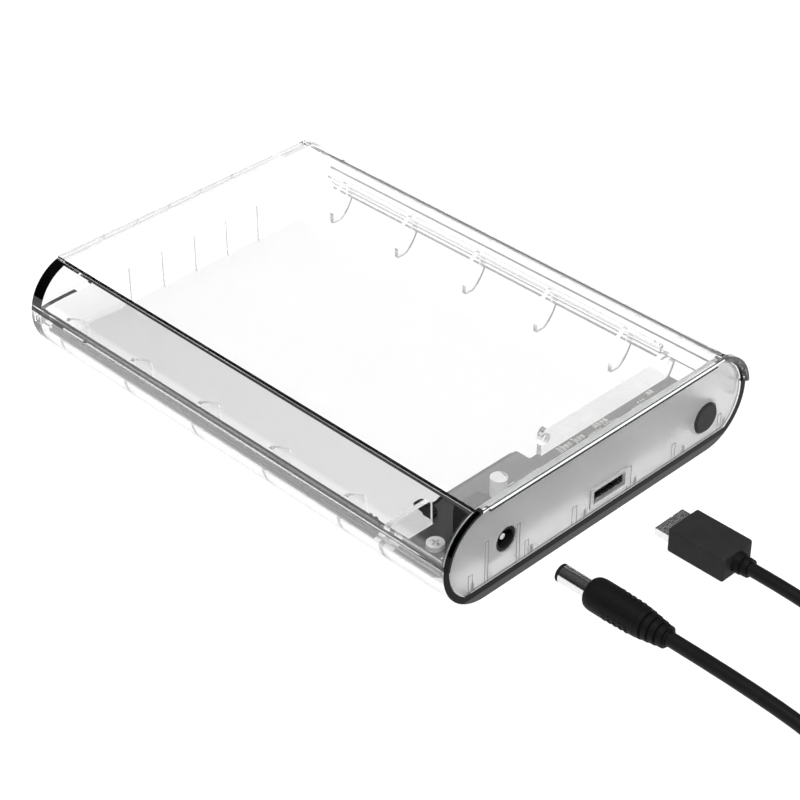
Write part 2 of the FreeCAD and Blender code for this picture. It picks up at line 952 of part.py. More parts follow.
def cord(name, route, diameter):
    """A cord's tube along its route, and its length."""
    path, radii = smooth_path([Vector(*point) for point in route])
    heading = Vector(*route[1]) - Vector(*route[0])
    section = Part.Wire(Part.Circle(Vector(*route[0]), heading, diameter.value / 2).toShape())
    tube = doc.addObject("Part::Feature", name)
    tube.Shape = path.makePipeShell([section], True, False)
    tube.Placement = Placement()
    expected = math.pi * diameter.value**2 / 4 * path.Length
    print(f"{name}: length {path.Length:.1f}, radii {radii}, volume ratio "
          f"{tube.Shape.Volume / expected:.4f}")
    node(tube, name)
    return path.Length


def coil(name, middle, radius, diameter, turns, columns, rows):
    """The outer shape of a wound coil: a ring with its section's corners taken off."""
    half = diameter * columns / 2
    tall = diameter * rows
    off = diameter * 0.3
    corners = [
        (radius - half + off, Size(0)),
        (radius + half - off, Size(0)),
        (radius + half, off),
        (radius + half, tall - off),
        (radius + half - off, tall),
        (radius - half + off, tall),
        (radius - half, tall - off),
        (radius - half, off),
    ]
    ring = turned(
        name, corners, x=Size(middle[0]), y=Size(middle[1]), about="Z_Axis", plane="XZ_Plane"
    )
    node(ring, name)
    wound = 2 * math.pi * radius.value * turns
    print(f"{name}: {turns} turns hold {wound:.1f}")
    return wound


def tie(name, middle, radius, diameter, columns, rows):
    """A strap over the coil's bundle, on its +X side."""
    half = diameter * columns / 2
    tall = diameter * rows
    y = around(Size(middle[1]), Size(4))
    inner = middle[0] + radius - half
    outer = middle[0] + radius + half
    strap = box(name + "_block", (inner - 1.6, outer + 0.8), y, (Size(0), tall + 0.8))
    bundle = box(
        name + "_bundle", (inner - 0.8, outer), (y[0] - 1, y[1] + 1), (Size(-1), tall)
    )
    node(cut(name, strap, bundle), name)


def power_lead():
    axis = (jack_across, jack_axis)
    shoulder = barrel_tip - barrel_long
    barrel = rod("barrel_outer", "y", axis, Size(2.75), (shoulder - 1, barrel_tip - 1))
    hollow = rod("barrel_hollow", "y", axis, Size(1.3), (shoulder, barrel_tip))
    node(cut("power_plug_barrel", barrel, hollow), "power_plug_barrel")
    ring = rod("tip_outer", "y", axis, Size(2.75), (barrel_tip - 1, barrel_tip))
    ring_hole = rod("tip_hole", "y", axis, Size(1.3), (barrel_tip - 2, barrel_tip + 1))
    node(cut("power_plug_tip_ring", ring, ring_hole), "power_plug_tip_ring")

    grip_end = shoulder - 18.5
    corners = [
        (Size(0), shoulder - 1),
        (Size(2.75), shoulder - 1),
        (Size(2.75), shoulder),
        (Size(4.3), shoulder),
        (Size(5), shoulder - 1.2),
        (Size(5), shoulder - 7),
        (Size(4.6), grip_end),
        (Size(0), grip_end),
    ]
    node(turned("power_plug_grip", corners, x=jack_across, z=jack_axis), "power_plug_grip")

    # Strain relief: a taper with rings
    relief = [(Size(0), grip_end)]
    ring_count = 4
    pitch = 2.3
    for i in range(ring_count):
        start = grip_end - i * pitch
        outer = 4.5 - 0.35 * i
        relief += [
            (Size(outer), start),
            (Size(outer - 0.1), start - 1.5),
            (Size(outer - 0.9), start - 1.6),
            (Size(outer - 0.9), start - pitch),
        ]
    relief_end = grip_end - ring_count * pitch
    relief += [(power_cord / 2, relief_end), (Size(0), relief_end)]
    node(
        turned("power_plug_strain_relief", relief, x=jack_across, z=jack_axis),
        "power_plug_strain_relief",
    )

    resting = power_cord.value / 2
    x = jack_across.value
    z = jack_axis.value
    coil_middle = (-25.0, -266.0)
    # The cord joins the coil at its outermost turn.
    entry_x = coil_middle[0] - power_coil_radius.value - power_cord.value
    route = [
        (x, relief_end.value, z),
        (x, -196.0, z),
        (x - 2.2, -214.0, z - 6.5),
        (x - 6.7, -232.0, resting + 0.4),
        (entry_x + 0.4, -249.0, resting),
        (entry_x, coil_middle[1], resting),
    ]
    total = cord("power_cord", route, power_cord)
    total += coil("power_cord_coil", coil_middle, power_coil_radius, power_cord, 6, 3, 2)
    tie("power_cord_tie", coil_middle, power_coil_radius, power_cord, 3, 2)
    case_top = -322.0
    case_x = -34.0
    cord_z = 9.0
    end_route = [
        (entry_x, coil_middle[1], resting + power_cord.value),
        (entry_x + 0.8, -283.0, resting + power_cord.value),
        (case_x - 7.0, -297.0, resting + 2.6),
        (case_x, -309.0, cord_z),
    ]
    total += cord("power_cord_end", end_route, power_cord)
    print(f"power lead: {total:.1f}")

    adapter_relief = [
        (Size(0), Size(0)),
        (power_cord / 2, Size(0)),
        (Size(3.4), Size(-13)),
        (Size(0), Size(-13)),
    ]
    taper = turned(
        "adapter_strain_relief",
        adapter_relief,
        x=Size(case_x),
        y=Size(case_top + 13),
        z=Size(cord_z),
    )
    node(taper, "adapter_strain_relief")
    case_bottom = case_top - 70
    case = padded(
        "adapter_case",
        "XY",
        rectangle(around(Size(case_x), Size(22)), (Size(case_bottom), Size(case_top))),
        (Size(0), Size(29)),
        rounding=Size(3),
    )
    node(case, "adapter_case")
    blades = [
        box(
            f"adapter_blade_{side}",
            around(Size(case_x + place), Size(0.75)),
            (Size(case_bottom - 17), Size(case_bottom)),
            around(Size(14.5), Size(3.15)),
        )
        for side, place in (("left", -6.35), ("right", 6.35))
    ]
    node(compound("adapter_blades", *blades), "adapter_blades")


def usb_lead():
    shoulder = usb_tip - usb_nose
    y = (shoulder - 1, usb_tip)
    shell = box("usb_plug_outer", around(usb_across, Size(6.1)), y, around(usb_axis, Size(1.25)))
    cavities = [
        box(
            f"usb_plug_cavity_{i + 1}",
            (usb_across + low, usb_across + high),
            (shoulder + 0.3, usb_tip + 1),
            around(usb_axis, Size(0.98)),
        )
        for i, (low, high) in enumerate(((-5.8, 1.0), (1.8, 5.8)))
    ]
    latches = [
        slab(
            f"usb_plug_latch_{i + 1}",
            usb_across + place,
            Size(1.1),
            (shoulder + 1.2, shoulder + 2.8),
            (usb_axis + 1.1, usb_axis + 2),
        )
        for i, place in enumerate((-4.4, -0.6))
    ]
    # Shallow grooves above and below part its wide and narrow sections.
    grooves = [
        slab(
            f"usb_plug_groove_{side}",
            usb_across + 1.4,
            Size(0.5),
            (shoulder + 0.2, usb_tip + 1),
            (usb_axis + low, usb_axis + high),
        )
        for side, low, high in (("top", 0.85, 2), ("bottom", -2, -0.85))
    ]
    node(cut("usb_plug_shell", shell, *cavities, *latches, *grooves), "usb_plug_shell")
    contacts = [
        slab(
            f"usb_plug_contact_{i + 1}",
            usb_across + place,
            Size(0.34),
            (shoulder + 0.3, usb_tip - 0.6),
            (usb_axis - 0.98, usb_axis - 0.75),
        )
        for i, place in enumerate((-4.6, -3.45, -2.3, -1.15, 0, 2.5, 3.1, 3.7, 4.3, 4.9))
    ]
    node(compound("usb_plug_contacts", *contacts), "usb_plug_contacts")
    grip_end = shoulder - 20.2
    grip = padded(
        "usb_plug_blank",
        "XZ",
        rectangle(around(usb_across, Size(6.5)), around(usb_axis, Size(4.2))),
        (grip_end, shoulder),
        rounding=Size(0.8),
    )
    socket = box(
        "usb_plug_seat",
        around(usb_across, Size(6.1)),
        (shoulder - 1, shoulder + 1),
        around(usb_axis, Size(1.25)),
    )
    node(cut("usb_plug_grip", grip, socket), "usb_plug_grip")
    relief_end = grip_end - 4.6
    relief = [
        (Size(0), grip_end),
        (Size(3.2), grip_end),
        (Size(3.1), grip_end - 2.2),
        (Size(2.6), grip_end - 2.3),
        (Size(2.9), grip_end - 3.1),
        (Size(2.8), relief_end),
        (Size(0), relief_end),
    ]
    node(turned("usb_plug_strain_relief", relief, x=usb_across, z=usb_axis), "usb_plug_strain_relief")

    resting = usb_cord.value / 2
    x = usb_across.value
    z = usb_axis.value
    coil_middle = (36.4, -222.0)
    entry_x = coil_middle[0] - usb_coil_radius.value - usb_cord.value
    route = [
        (x, relief_end.value, z),
        (x, -165.0, z),
        (x + 1.2, -180.0, resting + 2.9),
        (x + 3.3, -194.0, resting + 0.15),
        (entry_x - 0.3, -208.0, resting),
        (entry_x, coil_middle[1], resting),
    ]
    total = cord("usb_cord", route, usb_cord)
    total += coil("usb_cord_coil", coil_middle, usb_coil_radius, usb_cord, 6, 3, 2)
    tie("usb_cord_tie", coil_middle, usb_coil_radius, usb_cord, 3, 2)
    far_x = 18.0
    far_z = 4.4
    far_relief = -262.0
    end_route = [
        (entry_x, coil_middle[1], resting + usb_cord.value),
        (entry_x + 1.2, -237.0, resting + usb_cord.value),
        (far_x - 4.0, -251.0, resting + 2.6),
        (far_x, far_relief, far_z),
    ]
    total += cord("usb_cord_end", end_route, usb_cord)
    print(f"usb lead: {total:.1f}")

    far_taper = [
        (Size(0), Size(0)),
        (usb_cord / 2, Size(0)),
        (Size(3.2), Size(-9)),
        (Size(0), Size(-9)),
    ]
    taper = turned(
        "computer_plug_strain_relief",
        far_taper,
        x=Size(far_x),
        y=Size(far_relief),
        z=Size(far_z),
    )
    node(taper, "computer_plug_strain_relief")
    grip_start = far_relief - 9
    far_end = grip_start - 27
    body = padded(
        "computer_plug_grip",
        "XZ",
        rectangle(around(Size(far_x), Size(7.8)), around(Size(far_z), Size(4.2))),
        (Size(far_end), Size(grip_start)),
        rounding=Size(1.2),
    )
    node(body, "computer_plug_grip")
    mouth = far_end - 12
    outer = box(
        "computer_plug_outer",
        around(Size(far_x), Size(6)),
        (Size(mouth), Size(far_end)),
        around(Size(far_z), Size(2.25)),
    )
    inner = box(
        "computer_plug_inner",
        around(Size(far_x), Size(5.7)),
        (Size(mouth - 1), Size(far_end - 0.4)),
        around(Size(far_z), Size(1.95)),
    )
    windows = [
        box(
            f"computer_plug_window_{i + 1}",
            around(Size(far_x + place), Size(1.1)),
            (Size(mouth + 4.2), Size(mouth + 6.6)),
            (Size(far_z), Size(far_z + 4)),
        )
        for i, place in enumerate((-2.4, 2.4))
    ]
    node(cut("computer_plug_shell", outer, inner, *windows), "computer_plug_shell")
    tongue = box(
        "computer_plug_tongue",
        around(Size(far_x), Size(5.7)),
        (Size(mouth + 0.4), Size(far_end - 0.4)),
        (Size(far_z - 1.95), Size(far_z - 0.1)),
    )
    node(tongue, "computer_plug_tongue")


# ---------------------------------------------------------------- assembly
def write_parts():
    """Checks every object, then writes one file for each node."""
    doc.recompute()
    failed = [o.Label for o in doc.Objects if {"Invalid", "Error"} & set(o.State)]
    if failed:
        raise RuntimeError(f"objects that failed to recompute: {failed}")
    os.makedirs("parts", exist_ok=True)
    for thing in nodes:
        shape = thing.Shape
        if shape.isNull() or not shape.isValid() or not shape.Solids:
            raise RuntimeError(f"{thing.Label} has no valid solid")
        shape.exportStep(f"parts/{thing.Label}.step")
    print(f"{len(nodes)} nodes written")


lower_shell()
top_cover()
slide_rails()
port_panel()
main_board()
board_screws()
drive_connector()
power_jack()
usb_socket()
power_switch()
small_parts()
power_lead()
usb_lead()
write_parts()
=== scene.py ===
"""Looks for the clear hard disk enclosure and its two leads."""

import json
import math

import bmesh
import bpy
from mathutils import Matrix, Vector

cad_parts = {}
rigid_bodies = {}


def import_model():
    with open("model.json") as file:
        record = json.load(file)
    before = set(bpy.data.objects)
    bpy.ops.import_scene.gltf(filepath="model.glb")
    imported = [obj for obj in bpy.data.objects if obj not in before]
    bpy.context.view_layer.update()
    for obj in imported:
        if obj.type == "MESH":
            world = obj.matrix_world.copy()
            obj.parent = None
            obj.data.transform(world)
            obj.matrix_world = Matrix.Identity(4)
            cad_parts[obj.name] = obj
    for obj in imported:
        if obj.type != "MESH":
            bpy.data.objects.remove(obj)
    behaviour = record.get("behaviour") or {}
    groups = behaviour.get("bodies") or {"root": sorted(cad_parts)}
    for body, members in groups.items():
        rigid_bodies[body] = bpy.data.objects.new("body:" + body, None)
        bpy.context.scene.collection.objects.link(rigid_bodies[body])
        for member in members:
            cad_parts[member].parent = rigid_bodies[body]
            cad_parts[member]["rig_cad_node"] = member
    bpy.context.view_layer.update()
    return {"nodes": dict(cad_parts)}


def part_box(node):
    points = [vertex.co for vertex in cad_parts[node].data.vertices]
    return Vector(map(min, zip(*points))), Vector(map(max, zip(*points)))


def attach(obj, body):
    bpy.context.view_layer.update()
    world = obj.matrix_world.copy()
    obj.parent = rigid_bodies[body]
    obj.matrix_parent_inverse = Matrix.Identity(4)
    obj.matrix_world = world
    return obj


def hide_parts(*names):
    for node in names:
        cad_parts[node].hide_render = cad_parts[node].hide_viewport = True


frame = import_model()

MM = 0.001
PLASTIC_INDEX = 1.56  # refractive index of the clear casing

# Places along the port end and levels in the casing, in millimetres
COVER_END = -93.0
TRAY_END = -91.5
PANEL_FACE = -91.2
BAY_START = -86.0
BAY_FLOOR = 4.7
FLAT_HALF = 52.0  # the casing's round sides lie outside this
SIDE = 70.0  # past the widest point
BOARD_TOP = 8.6
nodes = frame["nodes"]
scene = bpy.context.scene


# ---------------------------------------------------------------- materials
def new_material(name):
    material = bpy.data.materials.new(name)
    material.use_nodes = True
    tree = material.node_tree
    shader = tree.nodes["Principled BSDF"]
    return material, tree, shader


def place(tree):
    """The point on the piece, in metres in the row frame."""
    return tree.nodes.new("ShaderNodeTexCoord").outputs["Object"]


def noise(tree, scale, detail=3.0, stretch=None):
    """A noise between 0 and 1. scale is in waves a metre, and stretch scales each axis first."""
    source = place(tree)
    if stretch is not None:
        mapping = tree.nodes.new("ShaderNodeMapping")
        mapping.inputs["Scale"].default_value = stretch
        tree.links.new(source, mapping.inputs["Vector"])
        source = mapping.outputs["Vector"]
    made = tree.nodes.new("ShaderNodeTexNoise")
    made.inputs["Scale"].default_value = scale
    made.inputs["Detail"].default_value = detail
    tree.links.new(source, made.inputs["Vector"])
    return made.outputs["Fac"]


def ramp(tree, source, stops):
    """Colours or greys at positions between 0 and 1."""
    made = tree.nodes.new("ShaderNodeValToRGB")
    elements = made.color_ramp.elements
    while len(elements) < len(stops):
        elements.new(0.5)
    for element, (position, tone) in zip(elements, stops):
        element.position = position
        element.color = (*tone, 1) if hasattr(tone, "__len__") else (tone, tone, tone, 1)
    tree.links.new(source, made.inputs["Fac"])
    return made.outputs["Color"]


def bump(tree, source, shader, height):
    """Raises the surface by height metres where source is 1."""
    made = tree.nodes.new("ShaderNodeBump")
    made.inputs["Strength"].default_value = 1.0
    made.inputs["Distance"].default_value = height
    tree.links.new(source, made.inputs["Height"])
    tree.links.new(made.outputs["Normal"], shader.inputs["Normal"])


def clear_plastic(name, tint, haze):
    """Moulded clear plastic: haze is (least, most) roughness."""
    material, tree, shader = new_material(name)
    shader.inputs["Transmission Weight"].default_value = 1.0
    shader.inputs["IOR"].default_value = PLASTIC_INDEX
    flow = noise(tree, 60, 2.0, (1.0, 0.25, 1.0))
    tree.links.new(
        ramp(tree, flow, [(0.3, tint), (0.7, [min(1.0, t * 1.01) for t in tint])]),
        shader.inputs["Base Color"],
    )
    wear = noise(tree, 900, 4.0)
    tree.links.new(
        ramp(tree, wear, [(0.45, haze[0]), (0.75, haze[1])]), shader.inputs["Roughness"]
    )
    return material


def plastic(name, tone, rough, grain, depth, spread=0.12):
    """Opaque moulded plastic with a spark-eroded grain, grain in waves a metre, depth in metres."""
    material, tree, shader = new_material(name)
    tone = tone if hasattr(tone, "__len__") else (tone, tone, tone)
    patches = noise(tree, 140, 4.0)
    tree.links.new(
        ramp(
            tree,
            patches,
            [(0.3, [t * (1 - spread) for t in tone]), (0.7, [t * (1 + spread) for t in tone])],
        ),
        shader.inputs["Base Color"],
    )
    speckle = noise(tree, grain, 2.0)
    tree.links.new(
        ramp(tree, speckle, [(0.3, rough * 0.85), (0.7, min(1.0, rough * 1.15))]),
        shader.inputs["Roughness"],
    )
    bump(tree, speckle, shader, depth)
    if max(tone) < 0.06:
        shader.inputs["Specular IOR Level"].default_value = 0.08
    return material


METAL_GRAIN = 1500
METAL_RELIEF = 0.000004


def metal(name, tone, rough, brushed=(1.0, 1.0, 1.0)):
    """Plated or bare metal, with fine lines where brushed stretches its noise."""
    material, tree, shader = new_material(name)
    tone = tone if hasattr(tone, "__len__") else (tone, tone, tone)
    shader.inputs["Metallic"].default_value = 1.0
    lines = noise(tree, METAL_GRAIN, 3.0, brushed)
    tree.links.new(
        ramp(tree, lines, [(0.3, [t * 0.88 for t in tone]), (0.7, tone)]),
        shader.inputs["Base Color"],
    )
    tree.links.new(
        ramp(tree, lines, [(0.3, rough * 0.7), (0.75, rough * 1.3)]), shader.inputs["Roughness"]
    )
    bump(tree, lines, shader, METAL_RELIEF)
    return material


def circuit_board(name):
    """Grey solder mask with fine copper runs under it."""
    material, tree, shader = new_material(name)
    runs = tree.nodes.new("ShaderNodeTexBrick")
    runs.inputs["Scale"].default_value = 260
    tree.links.new(place(tree), runs.inputs["Vector"])
    tone = ramp(tree, runs.outputs["Fac"], [(0.0, 0.06), (1.0, 0.085)])
    tree.links.new(tone, shader.inputs["Base Color"])
    grain = noise(tree, 2600, 2.0)
    tree.links.new(ramp(tree, grain, [(0.3, 0.3), (0.7, 0.45)]), shader.inputs["Roughness"])
    bump(tree, grain, shader, 0.00001)
    return material


MATERIALS = {
    "clear_plastic": clear_plastic("clear_plastic", (0.99, 0.99, 0.99), (0.0, 0.02)),
    "cover_plastic": clear_plastic("cover_plastic", (0.99, 0.99, 0.99), (0.0, 0.02)),
    "tray_plastic": clear_plastic("tray_plastic", (0.93, 0.93, 0.93), (0.0, 0.02)),
    "frosted_plastic": clear_plastic("frosted_plastic", (0.95, 0.95, 0.95), (0.3, 0.36)),
    "smoked_plastic": plastic("smoked_plastic", 0.03, 0.4, 2600, 0.00001),
    "board": circuit_board("board"),
    "steel": metal("steel", 0.62, 0.28),
    "chrome": metal("chrome", 0.78, 0.16),
    "tin": metal("tin", 0.7, 0.35),
    "gold": metal("gold", (0.83, 0.62, 0.28), 0.25),
    "aluminium": metal("aluminium", 0.95, 0.5, (1.0, 1.0, 8.0)),
    "black_plastic": plastic("black_plastic", 0.01, 0.42, 2200, 0.00002),
    "soft_black": plastic("soft_black", 0.006, 0.5, 3000, 0.00002),
    "charcoal": plastic("charcoal", 0.022, 0.55, 3000, 0.00002),
    "bright_steel": metal("bright_steel", 0.95, 0.45),
    "button_plastic": plastic("button_plastic", 0.03, 0.4, 3500, 0.00001),
    "grey_plastic": plastic("grey_plastic", 0.2, 0.5, 2400, 0.00001),
    "white_plastic": plastic("white_plastic", 0.8, 0.4, 2400, 0.00001, 0.03),
    "blue_plastic": plastic("blue_plastic", (0.03, 0.12, 0.45), 0.4, 2400, 0.00001),
    "ceramic": plastic("ceramic", (0.62, 0.58, 0.52), 0.45, 4000, 0.00001),
    "cord_jacket": plastic("cord_jacket", 0.009, 0.36, 1800, 0.00002),
}


def limited(tree, source, low, high):
    """1 where the value lies between low and high, else 0."""
    made = tree.nodes.new("ShaderNodeMath")
    made.operation = "COMPARE"
    made.inputs[1].default_value = (low + high) / 2
    made.inputs[2].default_value = (high - low) / 2
    tree.links.new(source, made.inputs[0])
    return made.outputs["Value"]


def product(tree, first, second):
    """The two values multiplied, so 1 only where both masks are."""
    made = tree.nodes.new("ShaderNodeMath")
    made.operation = "MULTIPLY"
    tree.links.new(first, made.inputs[0])
    tree.links.new(second, made.inputs[1])
    return made.outputs["Value"]


def paint_shade_and_highlight(material, share, tone):
    """Where share is 1, the surface gets a flat grey tone that is painted light: painted shade when
    the tone is dark, a painted highlight when it is bright. There it mirrors as a metal does.
    """
    tree = material.node_tree
    shader = tree.nodes["Principled BSDF"]
    mix = tree.nodes.new("ShaderNodeMix")
    mix.data_type = "RGBA"
    tree.links.new(share, mix.inputs[0])
    tree.links.new(shader.inputs["Base Color"].links[0].from_socket, mix.inputs[6])
    mix.inputs[7].default_value = (tone, tone, tone, 1)
    tree.links.new(mix.outputs[2], shader.inputs["Base Color"])
    mirroring = tree.nodes.new("ShaderNodeMath")
    mirroring.operation = "MAXIMUM"
    before = shader.inputs["Metallic"].links
    if before:
        tree.links.new(before[0].from_socket, mirroring.inputs[0])
    else:
        mirroring.inputs[0].default_value = 0.0
    tree.links.new(share, mirroring.inputs[1])
    tree.links.new(mirroring.outputs["Value"], shader.inputs["Metallic"])


def axes(tree):
    """The point's X, Y and Z, in metres in the row frame."""
    split = tree.nodes.new("ShaderNodeSeparateXYZ")
    tree.links.new(place(tree), split.inputs["Vector"])
    return split.outputs


def texture_floor(material, level, start, roughness):
    """Roughens the clear plastic below a level, from start on: the bay has a textured floor."""
    tree = material.node_tree
    shader = tree.nodes["Principled BSDF"]
    low = limited(tree, axes(tree)["Z"], -MM, level)
    added = tree.nodes.new("ShaderNodeMath")
    added.operation = "MULTIPLY_ADD"
    added.inputs[1].default_value = roughness
    tree.links.new(product(tree, low, limited(tree, axes(tree)["Y"], start, 0.1)), added.inputs[0])
    tree.links.new(shader.inputs["Roughness"].links[0].from_socket, added.inputs[2])
    tree.links.new(added.outputs["Value"], shader.inputs["Roughness"])


texture_floor(MATERIALS["tray_plastic"], BAY_FLOOR * MM, BAY_START * MM, 0.3)

# Round the port end the thinned lips are painted dark, which is painted shade, and only the cover's
# flat end face gets a bright band, which is a painted highlight.
LIP_START = -91.25
SHADE_BAND_LOW = 2.5
SHADE_BAND_HIGH = 20.0
HIGHLIGHT_LOW = 32.1
HIGHLIGHT_HIGH = 33.0
tray_tree = MATERIALS["tray_plastic"].node_tree
tray_end = limited(tray_tree, axes(tray_tree)["Y"], (TRAY_END - 0.1) * MM, (TRAY_END + 0.1) * MM)
# Painted shade: the tray's end face gets a dark grey tone that mirrors like metal.
paint_shade_and_highlight(MATERIALS["tray_plastic"], tray_end, 0.06)
# Painted shade: the upper band of the tray's end face is painted black.
shade_band = limited(tray_tree, axes(tray_tree)["Z"], SHADE_BAND_LOW * MM, SHADE_BAND_HIGH * MM)
paint_shade_and_highlight(MATERIALS["tray_plastic"], product(tray_tree, tray_end, shade_band), 0.0)
cover_tree = MATERIALS["cover_plastic"].node_tree
across = cover_tree.nodes.new("ShaderNodeMath")
across.operation = "ABSOLUTE"
cover_tree.links.new(axes(cover_tree)["X"], across.inputs[0])
# Painted shade: the cover's thinned lips on its round sides are painted near black.
for first, last, low in ((-SIDE, -FLAT_HALF, COVER_END - 1), (FLAT_HALF, SIDE, COVER_END + 1)):
    lip = limited(cover_tree, axes(cover_tree)["Y"], low * MM, LIP_START * MM)
    round_part = limited(cover_tree, axes(cover_tree)["X"], first * MM, last * MM)
    paint_shade_and_highlight(MATERIALS["cover_plastic"], product(cover_tree, lip, round_part), 0.01)
end_face = limited(
    cover_tree, axes(cover_tree)["Y"], (COVER_END - 1) * MM, (COVER_END + 0.03) * MM
)
flat_part = limited(cover_tree, across.outputs["Value"], 0, FLAT_HALF * MM)
highlight_band = limited(cover_tree, axes(cover_tree)["Z"], HIGHLIGHT_LOW * MM, HIGHLIGHT_HIGH * MM)
flat_end = product(cover_tree, end_face, flat_part)
# Painted shade: the cover's flat end face is painted dark.
paint_shade_and_highlight(MATERIALS["cover_plastic"], flat_end, 0.03)
# Painted highlight: a near-white mirroring band across the middle of the cover's flat end face.
paint_shade_and_highlight(MATERIALS["cover_plastic"], product(cover_tree, flat_end, highlight_band), 0.98)
frosted = MATERIALS["frosted_plastic"].node_tree.nodes["Principled BSDF"]
frosted.inputs["Transmission Weight"].default_value = 0.8


# These two are almost wholly satin, so they scatter light and hardly mirror.
for slot in ("bright_steel", "aluminium"):
    satin = MATERIALS[slot].node_tree.nodes["Principled BSDF"]
    satin.inputs["Metallic"].default_value = 0.1


def dress(piece, slot):
    """Gives a piece the finish of a material slot."""
    piece.data.materials.clear()
    piece.data.materials.append(MATERIALS[slot])
    return piece


for name, cad_node in nodes.items():
    for held in cad_node.material_slots:
        held.material = MATERIALS[held.material.name.split(".")[0]]
# The tray is a little greyer than the cover, and its floor has a fine texture.
nodes["lower_shell"].material_slots[0].material = MATERIALS["tray_plastic"]
nodes["top_cover"].material_slots[0].material = MATERIALS["cover_plastic"]
nodes["usb_plug_grip"].material_slots[0].material = MATERIALS["charcoal"]
nodes["board_screws"].material_slots[0].material = MATERIALS["bright_steel"]


# ---------------------------------------------------------------- the two cords
def tube(name, points, diameter, body):
    """A round cord along one smooth line. Each point carries the radius, so its bounds are true."""
    curve = bpy.data.curves.new(name, "CURVE")
    curve.dimensions = "3D"
    curve.resolution_u = 8
    curve.bevel_depth = 1.0
    curve.bevel_resolution = 6
    curve.use_fill_caps = True
    spline = curve.splines.new("NURBS")
    spline.points.add(len(points) - 1)
    for held, point in zip(spline.points, points):
        held.co = (*(value * MM for value in point), 1)
        held.radius = diameter / 2
    spline.order_u = 3
    spline.use_endpoint_u = True
    made = bpy.data.objects.new(name, curve)
    scene.collection.objects.link(made)
    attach(made, body)
    return dress(made, "cord_jacket")


COIL_POINTS = 16  # points in each turn of a coil
COLUMNS = 3


def eased(angle, first, last):
    """0 before first, 1 after last, smooth between. Angles are in degrees."""
    share = min(1.0, max(0.0, (angle - first) / (last - first)))
    return share * share * (3 - 2 * share)


def wound(middle, radius, diameter):
    """The turns of a coil: inwards over the floor, then outwards on top of those."""
    points = []
    outward = 1 / math.cos(math.pi / COIL_POINTS)
    for i in range(2 * COLUMNS * COIL_POINTS):
        turned = 360 * (i + 0.5) / COIL_POINTS
        turn = int(turned // 360)
        angle = turned % 360
        if turn < COLUMNS:
            column = turn + eased(angle, 285, 355)
            column = min(column, COLUMNS - 1)
        else:
            column = 2 * COLUMNS - 1 - turn - eased(angle, 250, 310)
            column = max(column, 0)
        level = 0
        if turn >= COLUMNS:
            level = 1
        elif turn == COLUMNS - 1:
            level = eased(angle, 300, 357)
        reach = (radius + diameter * ((COLUMNS - 1) / 2 - column)) * outward
        bearing = math.radians(180 + angle)
        points.append(
            (
                middle[0] + reach * math.cos(bearing),
                middle[1] + reach * math.sin(bearing),
                diameter * (0.5 + level),
            )
        )
    return points


POWER_CORD = 4.3  # diameters, in millimetres as the routes are
USB_CORD = 4.1
# The middle of each coil and the radius of its middle turn
POWER_COIL = ((-25, -266), 22.5)
USB_COIL = ((36.4, -222), 23.5)

power_cable = tube(
    "power_cable",
    [
        (-40.3, -150.5, 15.8),
        (-40.3, -196, 15.8),
        (-42.5, -214, 9.3),
        (-47, -232, 2.55),
        (-51.4, -249, 2.15),
        *wound(*POWER_COIL, POWER_CORD),
        (-51, -283, 6.45),
        (-41, -297, 4.75),
        (-34, -309, 9),
    ],
    POWER_CORD * MM,
    "power_lead",
)
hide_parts("power_cord", "power_cord_coil", "power_cord_end")

usb_cable = tube(
    "usb_cable",
    [
        (3.3, -143.7, 10.3),
        (3.3, -165, 10.3),
        (4.5, -180, 4.95),
        (6.6, -194, 2.2),
        (8.5, -208, 2.05),
        *wound(*USB_COIL, USB_CORD),
        (10, -237, 6.15),
        (14, -251, 4.65),
        (18, -262, 4.4),
    ],
    USB_CORD * MM,
    "usb_lead",
)
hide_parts("usb_cord", "usb_cord_coil", "usb_cord_end")


# ---------------------------------------------------------------- pieces built here
def made_of(name, sheet, body, slot, smooth=0.0):
    """A piece from a bmesh drawn in millimetres. Edges under smooth degrees are shaded smooth."""
    bmesh.ops.recalc_face_normals(sheet, faces=sheet.faces)
    bmesh.ops.scale(sheet, vec=(MM, MM, MM), verts=sheet.verts)
    mesh = bpy.data.meshes.new(name)
    sheet.to_mesh(mesh)
    sheet.free()
    if smooth:
        mesh.shade_smooth()
        mesh.set_sharp_from_angle(angle=math.radians(smooth))
    piece = bpy.data.objects.new(name, mesh)
    scene.collection.objects.link(piece)
    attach(piece, body)
    return dress(piece, slot)


def block(sheet, low, high, rounding=0.0, turned_by=None):
    """Adds a block between two corners, its edges rounded."""
    size = [b - a for a, b in zip(low, high)]
    middle = Vector([(a + b) / 2 for a, b in zip(low, high)])
    corners = bmesh.ops.create_cube(sheet, size=1.0)["verts"]
    bmesh.ops.scale(sheet, vec=size, verts=corners)
    if rounding:
        edges = list({edge for corner in corners for edge in corner.link_edges})
        made = bmesh.ops.bevel(
            sheet, geom=edges, offset=rounding, segments=3, profile=0.5, affect="EDGES"
        )
        rounded = {corner for face in made["faces"] for corner in face.verts}
        corners = list(rounded | {corner for corner in corners if corner.is_valid})
    if turned_by is not None:
        bmesh.ops.rotate(sheet, cent=(0, 0, 0), matrix=turned_by, verts=corners)
        middle = turned_by @ middle
    bmesh.ops.translate(sheet, vec=middle, verts=corners)


def lathe(sheet, corners, x, z):
    """Adds a round body about a line along Y. corners are (radius, place along the line)."""
    steps = 72
    rings = []
    for radius, y in corners:
        ring = []
        for i in range(steps):
            angle = 2 * math.pi * i / steps
            ring.append(
                sheet.verts.new((x + radius * math.cos(angle), y, z + radius * math.sin(angle)))
            )
        rings.append(ring)
    for first, second in zip(rings, rings[1:]):
        for i in range(steps):
            j = (i + 1) % steps
            sheet.faces.new((first[i], first[j], second[j], second[i]))


